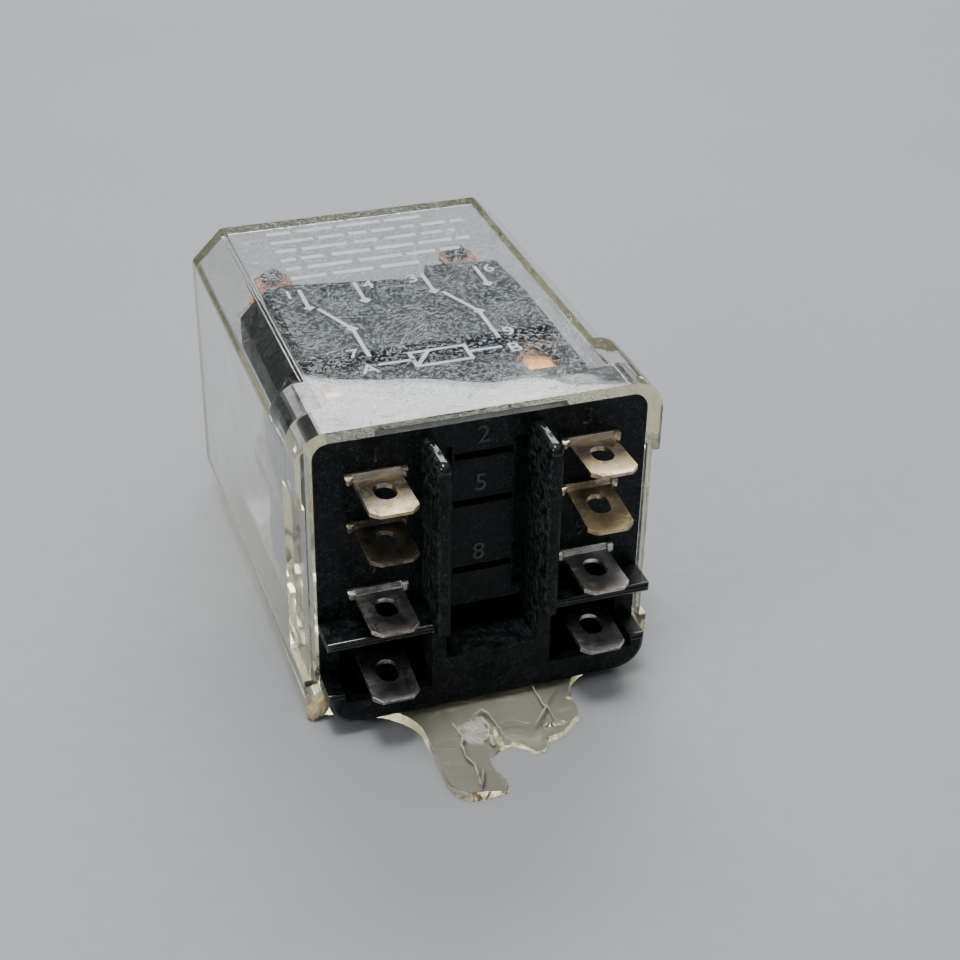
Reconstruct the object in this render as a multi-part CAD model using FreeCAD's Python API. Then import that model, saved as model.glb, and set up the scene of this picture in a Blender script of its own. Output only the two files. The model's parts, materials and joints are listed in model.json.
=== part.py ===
import FreeCAD, Part
import math
import os

# Plug-in relay, two changeover poles, lying on one long side of its clear dust cover.
# Millimetres. X runs to the right of the terminal face, Y into the case, Z up.
# Y = 0 is the plane of the cover's open rim, Z = 0 is the side that the relay rests on.

V = FreeCAD.Vector
X_AXIS, Y_AXIS, Z_AXIS = V(1, 0, 0), V(0, 1, 0), V(0, 0, 1)

# ---- driving dimensions -------------------------------------------------------------------
CASE_W, CASE_H, CASE_D = 36.9, 33.1, 47.3
WALL = 1.2
SIDE_RIM = 1.6
TOP_RIM = 1.15
CORNER_CHAMFER = 3.45
SKIRT_DEPTH = 10.6
SKIRT_CORNER_R, SKIRT_BACK_R = 3.2, 0.9
OUTER_EDGE_R, INNER_EDGE_R = 0.6, 0.4
FIT_GAP = 0.05
MOUTH_SPARE = 0.2
NOTCH_DEPTH, NOTCH_BACK, NOTCH_LOW, NOTCH_TOP = 0.77, 5.5, 5.0, 25.2
SLIT_LEFT, SLIT_RIGHT, SLIT_DEPTH, SLIT_H = -10.8, 8.5, 1.6, 0.6

# Mounting ear: a (mid, end) pair is an arc, the broken edge runs from the long arm to the stub.
EAR_ROOT = 1.0
EAR_LEFT_ARM = [(-12.0, EAR_ROOT), (-12.0, -1.6), ((-9.3, -3.6), (-8.1, -6.0)), (-8.1, -13.6),
                ((-7.2, -15.9), (-5.0, -16.6)), (-2.7, -16.4)]
EAR_BREAK = [(-2.4, -15.0), (-3.1, -13.1), (-2.9, -11.5), (-1.6, -10.6), (0, -10.1),
             (0.9, -10.9), (1.7, -12.0), (2.6, -12.1), (3.6, -10.9), (5.3, -10.3)]
EAR_RIGHT_STUB = [(7.6, -8.6), (7.9, -7.4), (7.9, -5.2), ((8.8, -3.4), (11.4, -1.6)), (11.4, EAR_ROOT)]

BASE_THICK = 5.0
BASE_TOP_R, BASE_LOW_R = 1.7, 3.0
LIP_OUT, LIP_EDGE_R = 3.5, 0.5
LIP_TOP, LIP_MID_TOP, ARM_TOP = 4.1, 7.3, 5.2
ARM_INNER_X = 15.2
BARRIER_X, BARRIER_T, BARRIER_OUT = 5.5, 1.4, 5.3
BARRIER_LOW, BARRIER_TOP = 11.4, 30.8
BARRIER_CORNER_R, BARRIER_EDGE_R = 1.0, 0.6
SHELF_LOW, SHELF_TOP, SHELF_OUT, SHELF_EDGE_R = 10.7, 11.7, 3.7, 0.4
SLOT_HALF_W, SLOT_H, SLOT_DEPTH = 3.05, 0.8, 1.5
GROOVE_X, GROOVE_DEPTH, GROOVE_LOW, GROOVE_TOP = 3.2, 0.8, 11.8, 29.4
WELL_DEPTH, WELL_MARGIN, WELL_SIDE = 2.2, 0.1, 0.4
POCKET_HALF_W, POCKET_DEPTH, POCKET_CLEAR = 4.75, 3.0, 0.6

COLUMN_X = 10.8
ROW_1, ROW_4, ROW_7 = 28.1, 22.8, 15.0
ROW_A, ROW_B = 7.1, 7.7
BLADE_W, BLADE_T, BLADE_OUT = 4.75, 0.5, 7.1
BLADE_TIP_CHAMFER = 0.87
BLADE_HOLE_Y, BLADE_HOLE_W, BLADE_HOLE_L = 3.2, 2.1, 2.9
STEP_START, STEP_END, BLADE_STEP = 0.25, 0.65, 0.5
SHOULDER_OUT, SHOULDER_REACH, SHOULDER_R = 0.85, 3.05, 0.3
STRIP_W, COIL_STRIP_W = 4.0, 3.2
COMMON_END, COIL_END = 8.4, 7.4
DROOP = {"1": -0.9, "3": -1.9, "4": -0.9, "6": 7.8, "7": 1.8, "9": 0.9, "a": 8.4, "b": 5.9}

CONTACT_Y = 40.5
CONTACT_R, CONTACT_EDGE_R = 1.6, 0.25
DOME_R, NC_DOME, NO_DOME = 1.35, 1.1, 0.6
UPPER_BUTTON, LOWER_BUTTON = 0.75, 0.6
CONTACT_GAP = 0.1
SHANK_R = 0.8

DECK_LOW, DECK_FRONT_TOP, DECK_TOP = 27.1, 29.3, 30.7
DECK_STEP_Y, DECK_BEVEL, DECK_OVERLAP = 17.0, 2.6, 0.5
CHEEK_OUT, CHEEK_IN, CHEEK_TRIM, CHEEK_BACK = 15.5, 14.3, 0.3, 33.3
DECK_REAR_EDGE = [(CHEEK_OUT - CHEEK_TRIM, 29.5), (12.6, 33.2), (4.9, 34.2), (4.9, 31.2), (-10.5, 33.8)]
CHEEK_FRONT_LOW, CHEEK_REAR_LOW = 17.5, 24.6
CHEEK_CURVE_START, CHEEK_CURVE_MID, CHEEK_CURVE_END = 14.0, (19.7, 19.3), 22.0
LEFT_WINDOW = [(-12.3, 11.4), (-10.1, 11.4), (-10.1, 15.0), (-12.3, 15.0)]
RIGHT_WINDOW = [(8.6, 10.8), (12.4, 10.8), (12.4, 15.0), (11.0, 17.0), (8.6, 16.2)]
RAIL_IN, RAIL_OUT, RAIL_LOW, RAIL_TOP, RAIL_END = 8.9, 13.4, 21.3, 23.9, 33.0

BOSS_R, FRAME_RIVET_X, FRAME_RIVET_Z, RIVET_HOLE_FRONT, FRAME_GRIP = 1.7, 4.5, 11.0, 3.4, 4.6

COIL_Y = 20.0
CORE_W, CORE_L, CORE_R, CORE_TOP = 15.0, 6.4, 0.8, 15.95
STAKE_W, STAKE_L, STAKE_R = 12.0, 4.4, 0.6
RING_LEFT, RING_RIGHT, RING_T, RING_DEPTH, RING_PROUD = 1.6, 6.6, 0.8, 0.9, 0.45
RING_ROOM = 0.1
TUBE_W, TUBE_L, TUBE_R = 17.2, 8.6, 1.8
WIND_W, WIND_L, WIND_R = 29.2, 20.6, 7.0
TAPE_T = 0.25
FLANGE_W, FLANGE_L, FLANGE_R = 30.8, 21.6, 3.0
BOBBIN_LOW, WIND_LOW, WIND_TOP, BOBBIN_TOP = 3.25, 4.3, 13.8, 15.5

YOKE_Z0, YOKE_Z1 = 1.7, 3.2
YOKE_FRONT, YOKE_T, YOKE_BACK = 7.6, 1.4, 31.0
YOKE_TOP = 16.6
YOKE_W, UPRIGHT_W = 18.0, 12.8
HOOK_HALF_W, HOOK_OUT, HOOK_T = 1.5, 1.0, 0.8
LEAD_R, LEAD_LIFT, LEAD_JOG, LEAD_TOP = 0.28, 0.3, 0.8, 11.0

PIVOT_Y, TRAVEL_DEG = YOKE_FRONT, 2.5
ARM_Z0, ARM_Z1 = 16.85, 18.2
ARM_BACK = 31.0
ARM_HALF_W, ARM_NECK_HALF_W, TAIL_HALF_W = 8.4, 6.4, 2.2
TAIL_FRONT, NECK_END, NECK_BLEND = 5.4, 11.4, 1.0
TAIL_HOLE_R = 0.5
CARRIER_TOP, CARRIER_BACK = 26.0, 20.0
CARRIER_HALF_W, CARRIER_FOOT_FRONT, CARRIER_FOOT_T = 6.4, 11.9, 1.2
WEB_FRONT, BAR_FRONT, BAR_HALF_W, BAR_T = 16.8, 15.0, 13.3, 1.1
GUSSET_X, GUSSET_T, GUSSET_FRONT = 1.6, 1.2, 13.6
CARRIER_RIVET_X, CARRIER_RIVET_Y, BLADE_RIVET_Y = 4.0, 13.4, 17.5
CARRIER_HEAD_R, BLADE_HEAD_R, HEAD_H, FRAME_HEAD_H = 1.4, 1.5, 0.5, 0.4
MOVING_T = 0.4
MOVING_FRONT, MOVING_BACK = 10.6, 42.4
MOVING_W = 4.4
PIGTAIL_R = 0.6

SPRING_Y, SPRING_R, SPRING_WIRE = 6.3, 1.0, 0.15
SPRING_LOW, SPRING_HIGH, SPRING_TURNS = 5.45, 16.8, 12
SPRING_END, SPRING_BEND, SPRING_CLIMB = 1.0, 0.2, 0.12

HALF_W = CASE_W / 2
BASE_HALF_W = HALF_W - SIDE_RIM - FIT_GAP
BASE_Z0, BASE_Z1 = WALL + FIT_GAP, CASE_H - TOP_RIM - FIT_GAP
MID_H = CASE_H / 2
SMALL = 0.01


# ---- helpers ------------------------------------------------------------------------------
def box(x0, x1, y0, y1, z0, z1):
    return Part.makeBox(x1 - x0, y1 - y0, z1 - z0, V(x0, y0, z0))


def mirror_x(shape):
    return shape.mirror(V(0, 0, 0), X_AXIS)


def fuse_all(shapes):
    result = shapes[0]
    for other in shapes[1:]:
        result = result.fuse(other)
    return result.removeSplitter()


def cut_all(shape, tools):
    for tool in tools:
        shape = shape.cut(tool)
    return shape


def outline(points):
    """Closed wire through 3-D points; a point given as (mid, end) is a circular arc."""
    edges = []
    here = points[0]
    for step in points[1:] + [points[0]]:
        if isinstance(step, tuple):
            mid, end = step
            edges.append(Part.Arc(here, mid, end).toShape())
            here = end
        else:
            edges.append(Part.LineSegment(here, step).toShape())
            here = step
    return Part.Wire(edges)


def prism(points, direction):
    return Part.Face(outline(points)).extrude(direction)


def plate_xz(points, y0, y1):
    return prism([V(x, y0, z) for x, z in points], V(0, y1 - y0, 0))


def plate_xy(points, z0, z1):
    """Level plate; a point given as (mid, end) is a circular arc."""
    corners = []
    for point in points:
        if isinstance(point[0], tuple):
            corners.append(tuple(V(x, y, z0) for x, y in point))
        else:
            corners.append(V(point[0], point[1], z0))
    return prism(corners, V(0, 0, z1 - z0))


def everywhere(middle):
    return True


def upper(middle):
    return middle.z > MID_H


def lower(middle):
    return middle.z < MID_H


def round_block(shape, radii, axis):
    """Fillet the edges parallel to axis; radii maps a test on the edge's middle to a radius."""
    for test, radius in radii:
        edges = [e for e in shape.Edges
                 if abs(abs(e.tangentAt(e.FirstParameter).dot(axis)) - 1) < 1e-6
                 and test(e.CenterOfMass)]
        shape = shape.makeFillet(radius, edges)
    return shape


def rounded_column(width, length, radius, z0, z1):
    """Upright block round the coil's axis, with rounded vertical corners."""
    block = box(-width / 2, width / 2, COIL_Y - length / 2, COIL_Y + length / 2, z0, z1)
    return round_block(block, [(everywhere, radius)], Z_AXIS)


def octagon_case(inset, y0, y1, edge_r):
    """The long part of the case, with four long edges cut at 45 degrees and its edges rounded."""
    leg = CORNER_CHAMFER - inset * (2 - math.sqrt(2))
    hw, low, high = HALF_W - inset, inset, CASE_H - inset
    points = [(-hw, low + leg), (-hw + leg, low), (hw - leg, low), (hw, low + leg),
              (hw, high - leg), (hw - leg, high), (-hw + leg, high), (-hw, high - leg)]
    block = round_block(plate_xz(points, y0, y1), [(everywhere, edge_r)], Y_AXIS)
    return block.makeFillet(edge_r, [e for e in block.Edges if e.BoundBox.YMin > y1 - SMALL])


def wire_run(points, radius):
    """A bent wire: straight rods joined by balls at the bends."""
    pieces = []
    for start, end in zip(points, points[1:]):
        run = end - start
        pieces.append(Part.makeCylinder(radius, run.Length, start, run))
    for bend in points[1:-1]:
        pieces.append(Part.makeSphere(radius, bend))
    return fuse_all(pieces)


# ---- clear cover --------------------------------------------------------------------------
def ear_plate():
    """Mounting ear, snapped off through its hole: a long left arm and a short right stub."""
    return plate_xy(EAR_LEFT_ARM + EAR_BREAK + EAR_RIGHT_STUB, 0, WALL)


def dust_cover():
    hull = octagon_case(0, SKIRT_DEPTH - 1, CASE_D, OUTER_EDGE_R)
    skirt = box(-HALF_W, HALF_W, 0, SKIRT_DEPTH, 0, CASE_H)
    skirt = round_block(skirt, [(everywhere, SKIRT_CORNER_R)], Y_AXIS)
    skirt = skirt.makeFillet(SKIRT_BACK_R, [e for e in skirt.Edges if e.BoundBox.YMin > SKIRT_DEPTH - SMALL])
    shell = fuse_all([hull, skirt, ear_plate()])
    mouth = box(-BASE_HALF_W - FIT_GAP, BASE_HALF_W + FIT_GAP, -1, BASE_THICK + MOUTH_SPARE,
                WALL, BASE_Z1 + FIT_GAP)
    mouth = round_block(mouth, [(upper, BASE_TOP_R), (lower, BASE_LOW_R)], Y_AXIS)
    in_front_of_rim = box(-HALF_W, HALF_W, -1, 0, 0, CASE_H)
    hollow = octagon_case(WALL, BASE_THICK, CASE_D - WALL, INNER_EDGE_R)
    notch = box(-HALF_W, -HALF_W + NOTCH_DEPTH, 0, NOTCH_BACK, NOTCH_LOW, NOTCH_TOP)
    top_slit = box(SLIT_LEFT, SLIT_RIGHT, -1, SLIT_DEPTH, BASE_Z1, BASE_Z1 + SLIT_H)
    return cut_all(shell, [mouth.cut(in_front_of_rim), hollow, notch, mirror_x(notch), top_slit])


# ---- black moulded base -------------------------------------------------------------------
def base_front():
    """Terminal plate with its bottom lip, two barriers and two shelves."""
    plate = box(-BASE_HALF_W, BASE_HALF_W, 0, BASE_THICK, BASE_Z0, BASE_Z1)
    plate = round_block(plate, [(upper, BASE_TOP_R), (lower, BASE_LOW_R)], Y_AXIS)
    lip = box(-BASE_HALF_W, BASE_HALF_W, -LIP_OUT, 0, BASE_Z0, ARM_TOP)
    lip = round_block(lip, [(lambda middle: middle.z < BASE_Z0 + SMALL, BASE_LOW_R)], Y_AXIS)
    lip = lip.makeFillet(LIP_EDGE_R, [e for e in lip.Edges if e.BoundBox.YMax < -LIP_OUT + SMALL])
    scoop = box(BARRIER_X, ARM_INNER_X, -LIP_OUT - 1, 0, LIP_TOP, ARM_TOP + 1)
    lip = cut_all(lip, [scoop, mirror_x(scoop)])
    middle = box(-BARRIER_X, BARRIER_X, -LIP_OUT, 0, LIP_TOP, LIP_MID_TOP)
    half = BARRIER_T / 2
    barrier = box(BARRIER_X - half, BARRIER_X + half, -BARRIER_OUT, 0, BARRIER_LOW, BARRIER_TOP)
    is_front = lambda e: e.BoundBox.YMax < -BARRIER_OUT + SMALL
    is_top = lambda e: e.BoundBox.ZMin > BARRIER_TOP - BARRIER_CORNER_R - SMALL
    barrier = barrier.makeFillet(BARRIER_CORNER_R, [e for e in barrier.Edges if is_front(e) and is_top(e)])
    outer = [e for e in barrier.Edges if e.BoundBox.XLength < SMALL and (is_front(e) or is_top(e))]
    barrier = barrier.makeFillet(BARRIER_EDGE_R, outer)
    foot = box(BARRIER_X - half, BARRIER_X + half, -LIP_OUT, 0, LIP_TOP, BARRIER_LOW + BARRIER_EDGE_R)
    shelf = box(BARRIER_X, BASE_HALF_W, -SHELF_OUT, 0, SHELF_LOW, SHELF_TOP)
    shelf = shelf.makeFillet(SHELF_EDGE_R, [e for e in shelf.Edges if e.BoundBox.YMax < -SHELF_OUT + SMALL])
    side = [barrier, foot, shelf]
    return fuse_all([plate, lip, middle] + side + [mirror_x(s) for s in side])


def base_rear():
    """Deck over the upper blades, side cheeks, rails for the lower blades and two bosses."""
    low, high, rear = DECK_LOW, DECK_TOP, BASE_THICK - DECK_OVERLAP
    front_edge = [(-CHEEK_OUT, CHEEK_BACK), (-CHEEK_OUT, rear), (CHEEK_OUT - CHEEK_TRIM, rear)]
    deck = plate_xy(front_edge + DECK_REAR_EDGE, low, high)
    lowered = box(-HALF_W, HALF_W, 0, DECK_STEP_Y, DECK_FRONT_TOP, high + 1)
    bevel = plate_xz([(-CHEEK_OUT - 1, high + 1), (-CHEEK_OUT - 1, high - DECK_BEVEL),
                      (-CHEEK_OUT, high - DECK_BEVEL), (-CHEEK_OUT + DECK_BEVEL, high),
                      (-CHEEK_OUT + DECK_BEVEL, high + 1)], 0, CASE_D)
    deck = cut_all(deck, [lowered, bevel, mirror_x(bevel)])
    top = low + DECK_OVERLAP
    cheek_side = [V(-CHEEK_OUT, rear, top), V(-CHEEK_OUT, rear, CHEEK_FRONT_LOW),
                  V(-CHEEK_OUT, CHEEK_CURVE_START, CHEEK_FRONT_LOW),
                  (V(-CHEEK_OUT, *CHEEK_CURVE_MID), V(-CHEEK_OUT, CHEEK_CURVE_END, CHEEK_REAR_LOW)),
                  V(-CHEEK_OUT, CHEEK_BACK, CHEEK_REAR_LOW), V(-CHEEK_OUT, CHEEK_BACK, top)]
    cheek = prism(cheek_side, V(CHEEK_OUT - CHEEK_IN, 0, 0))
    trimmed = mirror_x(cheek).common(box(0, CHEEK_OUT - CHEEK_TRIM, 0, CASE_D, 0, CASE_H))
    rail = box(RAIL_IN, RAIL_OUT, rear, RAIL_END, RAIL_LOW, RAIL_TOP)
    boss = Part.makeCylinder(BOSS_R, YOKE_FRONT - rear, V(FRAME_RIVET_X, rear, FRAME_RIVET_Z), Y_AXIS)
    return fuse_all([deck, cheek, trimmed, rail, mirror_x(rail), boss, mirror_x(boss)])


def blade_passage(x, z, back):
    return box(x - BLADE_W / 2, x + BLADE_W / 2, -1, back, z - BLADE_T / 2, z + BLADE_T / 2)


def base():
    body = base_front().fuse(base_rear()).removeSplitter()
    tools = []
    for x in (-COLUMN_X, COLUMN_X):
        tools += [blade_passage(x, z, RAIL_END + 2) for z in (ROW_1, ROW_4)]
        tools.append(blade_passage(x, ROW_7, BASE_THICK + 1))
    tools.append(blade_passage(-COLUMN_X, ROW_A, BASE_THICK + 1))
    tools.append(blade_passage(COLUMN_X, ROW_B, BASE_THICK + 1))
    tools += [box(-SLOT_HALF_W, SLOT_HALF_W, -1, SLOT_DEPTH, z - SLOT_H / 2, z + SLOT_H / 2)
              for z in (ROW_1, ROW_4, ROW_7)]
    groove = box(GROOVE_X, BARRIER_X - BARRIER_T / 2, -1, GROOVE_DEPTH, GROOVE_LOW, GROOVE_TOP)
    well = box(BARRIER_X + BARRIER_T / 2, ARM_INNER_X - WELL_SIDE, -1, WELL_DEPTH,
               LIP_TOP + WELL_MARGIN, SHELF_LOW - WELL_MARGIN)
    tools += [groove, mirror_x(groove), well, mirror_x(well)]
    pocket_top = BARRIER_LOW - POCKET_CLEAR
    tools.append(box(-POCKET_HALF_W, POCKET_HALF_W, -1, POCKET_DEPTH, LIP_MID_TOP, pocket_top))
    tools += [plate_xy(window, ROW_1, DECK_TOP) for window in (LEFT_WINDOW, RIGHT_WINDOW)]
    hole_start = V(FRAME_RIVET_X, RIVET_HOLE_FRONT, FRAME_RIVET_Z)
    rivet_hole = Part.makeCylinder(SHANK_R, 2 * BASE_THICK, hole_start, Y_AXIS)
    tools += [rivet_hole, mirror_x(rivet_hole)]
    return cut_all(body, tools)


# ---- terminals ----------------------------------------------------------------------------
def blade_end(x, z, droop_deg, step):
    """The quick-connect end in front of the base: a step down at its root, then the flat blade."""
    half_w, half_t = BLADE_W / 2, BLADE_T / 2
    slope = math.radians(droop_deg)
    length = (BLADE_OUT - STEP_END) / math.cos(slope)
    start = V(x - half_w, -STEP_END, z - step)
    end = start + V(0, -math.cos(slope), -math.sin(slope)) * length
    rise = V(0, -math.sin(slope), math.cos(slope)) * half_t
    level, before_step = V(x - half_w, 0, z), V(x - half_w, -STEP_START, z)
    half_up = V(0, 0, half_t)
    side = [level + half_up, before_step + half_up, start + rise, end + rise,
            end - rise, start - rise, before_step - half_up, level - half_up]
    tip = BLADE_TIP_CHAMFER
    plan = [(x - half_w, 0), (x - half_w, end.y + tip), (x - half_w + tip, end.y), (x + half_w - tip, end.y),
            (x + half_w, end.y + tip), (x + half_w, 0)]
    low, high = z - BLADE_OUT, z + BLADE_OUT
    blade = prism(side, V(BLADE_W, 0, 0)).common(plate_xy(plan, low, high))
    hole_r, reach = BLADE_HOLE_W / 2, (BLADE_HOLE_L - BLADE_HOLE_W) / 2
    front, back = -BLADE_HOLE_Y - reach, -BLADE_HOLE_Y + reach
    hole = [(x - hole_r, front), ((x, front - hole_r), (x + hole_r, front)),
            (x + hole_r, back), ((x, back + hole_r), (x - hole_r, back))]
    return blade.cut(plate_xy(hole, low, high))


def terminal(x, z, droop_deg, inner_end, inner_width, step=BLADE_STEP, round_end=False):
    """A blade, its width of metal through the base, and its narrower strip inside the case."""
    low, high, half_in = z - BLADE_T / 2, z + BLADE_T / 2, inner_width / 2
    pieces = [blade_end(x, z, droop_deg, step),
              box(x - BLADE_W / 2, x + BLADE_W / 2, -SMALL, BASE_THICK, low, high)]
    if round_end:
        straight_end = inner_end - half_in
        strip_plan = [(x - half_in, BASE_THICK - 1), (x - half_in, straight_end),
                      ((x, inner_end), (x + half_in, straight_end)), (x + half_in, BASE_THICK - 1)]
        pieces.append(plate_xy(strip_plan, low, high))
    else:
        pieces.append(box(x - half_in, x + half_in, BASE_THICK - 1, inner_end, low, high))
    if step:
        shoulder = box(x - SHOULDER_REACH, x + SHOULDER_REACH, -SHOULDER_OUT, 0, low, high)
        outer = lambda middle: middle.y < -SHOULDER_OUT + SMALL
        shoulder = round_block(shoulder, [(outer, SHOULDER_R)], Z_AXIS)
        between = box(x - BLADE_W / 2, x + BLADE_W / 2, -SHOULDER_OUT - 1, 1, low - 1, high + 1)
        pieces.append(shoulder.cut(between))
    return fuse_all(pieces)


def fixed_contact_terminal(x, z, droop_deg):
    shape = terminal(x, z, droop_deg, CONTACT_Y + STRIP_W / 2, STRIP_W, round_end=True)
    return shape.cut(Part.makeCylinder(SHANK_R, 2, V(x, CONTACT_Y, z - 1)))


def contact_rivet(x, strip_low, strip_high, face_height, points_up, dome_height):
    """Silver button on the side that makes contact, upset dome on the other side."""
    shank = Part.makeCylinder(SHANK_R, strip_high - strip_low, V(x, CONTACT_Y, strip_low))
    ball_r = (DOME_R ** 2 + dome_height ** 2) / (2 * dome_height)
    ball = Part.makeSphere(ball_r, V(x, CONTACT_Y, dome_height - ball_r))
    dome = ball.common(box(x - ball_r, x + ball_r, CONTACT_Y - ball_r, CONTACT_Y + ball_r, 0, dome_height))
    button = Part.makeCylinder(CONTACT_R, face_height, V(x, CONTACT_Y, 0))
    rim = [e for e in button.Edges if abs(e.CenterOfMass.z - face_height) < SMALL]
    button = button.makeFillet(CONTACT_EDGE_R, rim)
    if points_up:
        button.translate(V(0, 0, strip_high))
        dome.rotate(V(x, CONTACT_Y, 0), X_AXIS, 180)
        dome.translate(V(0, 0, strip_low))
    else:
        button.rotate(V(x, CONTACT_Y, 0), X_AXIS, 180)
        button.translate(V(0, 0, strip_low))
        dome.translate(V(0, 0, strip_high))
    return fuse_all([shank, button, dome])


# ---- magnet and coil ----------------------------------------------------------------------
def ring_bar(reach, inset, low, high):
    """Bar over the half of the pole face that the shading ring encloses."""
    return box(RING_LEFT + inset, RING_RIGHT - inset, COIL_Y - reach, COIL_Y + reach, low, high)


def core():
    body = rounded_column(CORE_W, CORE_L, CORE_R, YOKE_Z1, CORE_TOP)
    stake = rounded_column(STAKE_W, STAKE_L, STAKE_R, YOKE_Z0, YOKE_Z1)
    groove_low = CORE_TOP - RING_DEPTH
    groove = ring_bar(CORE_L, 0, groove_low, CASE_H).cut(ring_bar(CORE_L, RING_T, groove_low, CASE_H))
    return fuse_all([body, stake]).cut(groove)


def shading_ring():
    """Copper ring let into one half of the pole face, which keeps an AC armature quiet."""
    half = CORE_L / 2
    ring = ring_bar(half + RING_PROUD, 0, CORE_TOP - RING_DEPTH, CORE_TOP - RING_DEPTH + RING_T)
    return ring.cut(ring_bar(half, RING_T, 0, CASE_H))


def yoke():
    floor = box(-YOKE_W / 2, YOKE_W / 2, YOKE_FRONT, YOKE_BACK, YOKE_Z0, YOKE_Z1)
    upright = box(-UPRIGHT_W / 2, UPRIGHT_W / 2, YOKE_FRONT, YOKE_FRONT + YOKE_T, YOKE_Z0, YOKE_TOP)
    hook_top = SPRING_LOW - FIT_GAP
    hook = box(-HOOK_HALF_W, HOOK_HALF_W, SPRING_Y - HOOK_OUT, YOKE_FRONT, hook_top - HOOK_T, hook_top)
    frame = fuse_all([floor, upright, hook])
    frame = frame.cut(rounded_column(STAKE_W, STAKE_L, STAKE_R, 0, YOKE_Z1 + 1))
    for x in (-FRAME_RIVET_X, FRAME_RIVET_X):
        start = V(x, YOKE_FRONT - 1, FRAME_RIVET_Z)
        frame = frame.cut(Part.makeCylinder(SHANK_R, YOKE_T + 2, start, Y_AXIS))
    return frame


def bobbin():
    tube = rounded_column(TUBE_W, TUBE_L, TUBE_R, BOBBIN_LOW, BOBBIN_TOP)
    low = rounded_column(FLANGE_W, FLANGE_L, FLANGE_R, BOBBIN_LOW, WIND_LOW)
    high = rounded_column(FLANGE_W, FLANGE_L, FLANGE_R, WIND_TOP, BOBBIN_TOP)
    bore = rounded_column(CORE_W + 2 * FIT_GAP, CORE_L + 2 * FIT_GAP, CORE_R, 0, CASE_H)
    reach = CORE_L / 2 + RING_PROUD + 2 * RING_ROOM
    ring_room = ring_bar(reach, -RING_ROOM, CORE_TOP - RING_DEPTH - RING_ROOM, CASE_H)
    return cut_all(fuse_all([tube, low, high]), [bore, ring_room])


def winding():
    body = rounded_column(WIND_W, WIND_L, WIND_R, WIND_LOW, WIND_TOP)
    return body.cut(rounded_column(TUBE_W, TUBE_L, TUBE_R, 0, CASE_H))


def coil_tape():
    """Insulating tape wound once round the finished coil."""
    body = rounded_column(WIND_W + 2 * TAPE_T, WIND_L + 2 * TAPE_T, WIND_R + TAPE_T,
                          WIND_LOW + 2 * FIT_GAP, WIND_TOP - 2 * FIT_GAP)
    return body.cut(rounded_column(WIND_W, WIND_L, WIND_R, 0, CASE_H))


def coil_lead(side, z):
    """Enamelled end of the winding, from the coil to the top of the coil blade."""
    x = side * COLUMN_X
    top = z + BLADE_T / 2 + LEAD_LIFT
    coil_x = x - side * LEAD_JOG
    points = [V(x, 5.6, top), V(x, 7.0, top), V(coil_x, 8.6, top + 1.6), V(coil_x, 9.3, LEAD_TOP)]
    return wire_run(points, LEAD_R)


def return_spring():
    """Close-wound tension spring between the yoke's hook and the armature's tail."""
    coil_low, coil_high = SPRING_LOW + SPRING_END, SPRING_HIGH - SPRING_END
    height = coil_high - coil_low
    helix = Part.makeHelix(height / SPRING_TURNS, height, SPRING_R)
    helix.translate(V(0, SPRING_Y, coil_low))
    start = V(SPRING_R, SPRING_Y, coil_low)
    section = Part.Wire(Part.makeCircle(SPRING_WIRE, start, V(0, 1, SPRING_CLIMB)))
    pieces = [Part.Wire(helix).makePipeShell([section], True, True)]
    half = SPRING_BEND / 2
    for z0, z1, bend in ((SPRING_LOW, coil_low, coil_low), (coil_high, SPRING_HIGH, coil_high)):
        pieces.append(Part.makeCylinder(SPRING_WIRE, z1 - z0, V(0, SPRING_Y, z0)))
        pieces.append(box(-half, SPRING_R, SPRING_Y - half, SPRING_Y + half, bend - half, bend + half))
    return fuse_all(pieces)


# ---- moving unit --------------------------------------------------------------------------
def armature():
    """Plate that rocks on the yoke's upright, with a narrow tail in front for the spring."""
    blend = NECK_END + NECK_BLEND
    right = [(TAIL_HALF_W, TAIL_FRONT), (TAIL_HALF_W, PIVOT_Y), (ARM_NECK_HALF_W, PIVOT_Y),
             (ARM_NECK_HALF_W, NECK_END), (ARM_HALF_W, blend), (ARM_HALF_W, ARM_BACK)]
    plate = plate_xy(right + [(-x, y) for x, y in reversed(right)], ARM_Z0, ARM_Z1)
    holes = [Part.makeCylinder(SHANK_R, 4, V(x, CARRIER_RIVET_Y, ARM_Z0 - 1))
             for x in (-CARRIER_RIVET_X, CARRIER_RIVET_X)]
    holes.append(Part.makeCylinder(TAIL_HOLE_R, 4, V(0, SPRING_Y, ARM_Z0 - 1)))
    return cut_all(plate, holes)


def contact_carrier():
    """Insulating block on the armature that holds both moving blades."""
    half, back, bar_low = CARRIER_HALF_W, CARRIER_BACK, CARRIER_TOP - BAR_T
    foot = box(-half, half, CARRIER_FOOT_FRONT, back, ARM_Z1, ARM_Z1 + CARRIER_FOOT_T)
    web = box(-half, half, WEB_FRONT, back, ARM_Z1, bar_low)
    bar = box(-BAR_HALF_W, BAR_HALF_W, BAR_FRONT, back, bar_low, CARRIER_TOP)
    gussets = [box(x - GUSSET_T / 2, x + GUSSET_T / 2, GUSSET_FRONT, WEB_FRONT, ARM_Z1, bar_low)
               for x in (-GUSSET_X, GUSSET_X)]
    holes = [Part.makeCylinder(SHANK_R, 4, V(x, CARRIER_RIVET_Y, ARM_Z1 - 1))
             for x in (-CARRIER_RIVET_X, CARRIER_RIVET_X)]
    holes += [Part.makeCylinder(SHANK_R, 4, V(x, BLADE_RIVET_Y, bar_low - 1)) for x in (-COLUMN_X, COLUMN_X)]
    return cut_all(fuse_all([foot, web, bar] + gussets), holes)


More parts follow.
